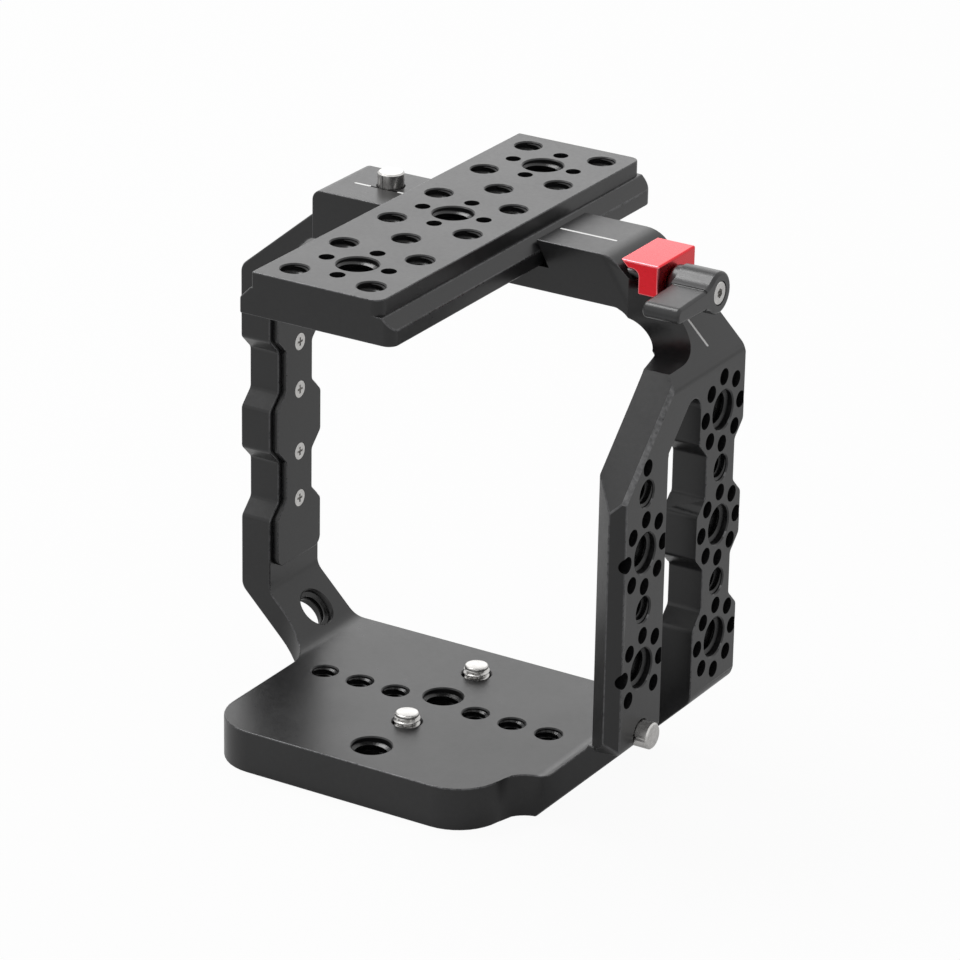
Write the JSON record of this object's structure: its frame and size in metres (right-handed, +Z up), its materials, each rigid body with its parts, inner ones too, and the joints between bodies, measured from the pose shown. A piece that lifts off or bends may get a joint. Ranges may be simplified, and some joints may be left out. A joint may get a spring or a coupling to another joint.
{
  "type": "camera cage",
  "caption": "Machined aluminium camera cage: closed ring with a drilled side plate, sliding dovetailed top plate, clamp jaw with thumb lever, and captive camera screws.",
  "frame": {"origin": "underside of the base plate, on the axis of its centre thread", "axes": "+X to the side with the drilled plate (camera's left seen from its front), -Y to the front, +Z up"},
  "size_m": [0.1275, 0.114, 0.1322],
  "materials": {
    "black_anodised": "bead-blasted and black anodised, satin",
    "red_anodised": "red anodised, satin",
    "bright_steel": "stainless steel, turned",
    "black_steel": "black oxide",
    "black_plastic": "fine-grained moulded plastic",
    "white_plastic": "smooth low-friction plastic",
    "white_fill": "white paint filled into shallow grooves"
  },
  "bodies": {
    "frame": {"cage_frame": "black_anodised", "plate_lock_screws": "black_steel", "arm_cover": "black_anodised", "arm_cover_screws": "bright_steel", "top_stud": "bright_steel", "side_stud": "bright_steel", "film_plane_marks": "white_fill", "clamp_stud": "bright_steel", "jaw_guide_pins": "bright_steel", "front_screw_ring": "black_steel", "rear_screw_ring": "black_steel"},
    "top_plate": {"top_plate": "black_anodised"},
    "clamp_jaw": {"clamp_jaw": "red_anodised"},
    "lever_hub": {"lever_insert": "black_steel", "lever_screw": "bright_steel", "lever_spring": "bright_steel"},
    "lever_handle": {"lever_handle": "black_plastic"},
    "front_washer": {"front_screw_washer": "white_plastic"},
    "front_screw": {"front_camera_screw": "bright_steel"},
    "rear_washer": {"rear_screw_washer": "white_plastic"},
    "rear_screw": {"rear_camera_screw": "bright_steel"}
  },
  "joints": [
    {"name": "plate_slide", "type": "slide", "parent": "frame", "child": "top_plate", "axis": [0, 1, 0], "range_m": [-0.02, 0.02]},
    {"name": "jaw_slide", "type": "slide", "parent": "frame", "child": "clamp_jaw", "axis": [-1, 0, 0], "range_m": [0, 0.00035]},
    {"name": "lever_turn", "type": "hinge", "parent": "clamp_jaw", "child": "lever_hub", "pos_m": [0.0513, 0.0127, 0.122], "axis": [-1, 0, 0], "range_deg": [0, 180]},
    {"name": "handle_pull", "type": "slide", "parent": "lever_hub", "child": "lever_handle", "axis": [1, 0, 0], "range_m": [0, 0.0019], "stiffness_N_per_m": 400, "springref_m": -0.001, "deforming": ["lever_spring"]},
    {"name": "front_screw_lift", "type": "slide", "parent": "frame", "child": "front_washer", "axis": [0, 0, 1], "range_m": [0, 0.003]},
    {"name": "front_screw_turn", "type": "hinge", "parent": "front_washer", "child": "front_screw", "pos_m": [0, -0.0161, 0.0106], "axis": [0, 0, 1], "range_deg": [0, 850]},
    {"name": "rear_screw_lift", "type": "slide", "parent": "frame", "child": "rear_washer", "axis": [0, 0, 1], "range_m": [0, 0.003]},
    {"name": "rear_screw_turn", "type": "hinge", "parent": "rear_washer", "child": "rear_screw", "pos_m": [0, 0.0151, 0.0106], "axis": [0, 0, 1], "range_deg": [0, 850]}
  ],
  "couplings": [
    {"joint": "lever_turn", "follows": "jaw_slide", "rad_per_m": 8976},
    {"joint": "front_screw_turn", "follows": "front_screw_lift", "rad_per_m": 4945.1},
    {"joint": "rear_screw_turn", "follows": "rear_screw_lift", "rad_per_m": 4945.1}
  ]
}
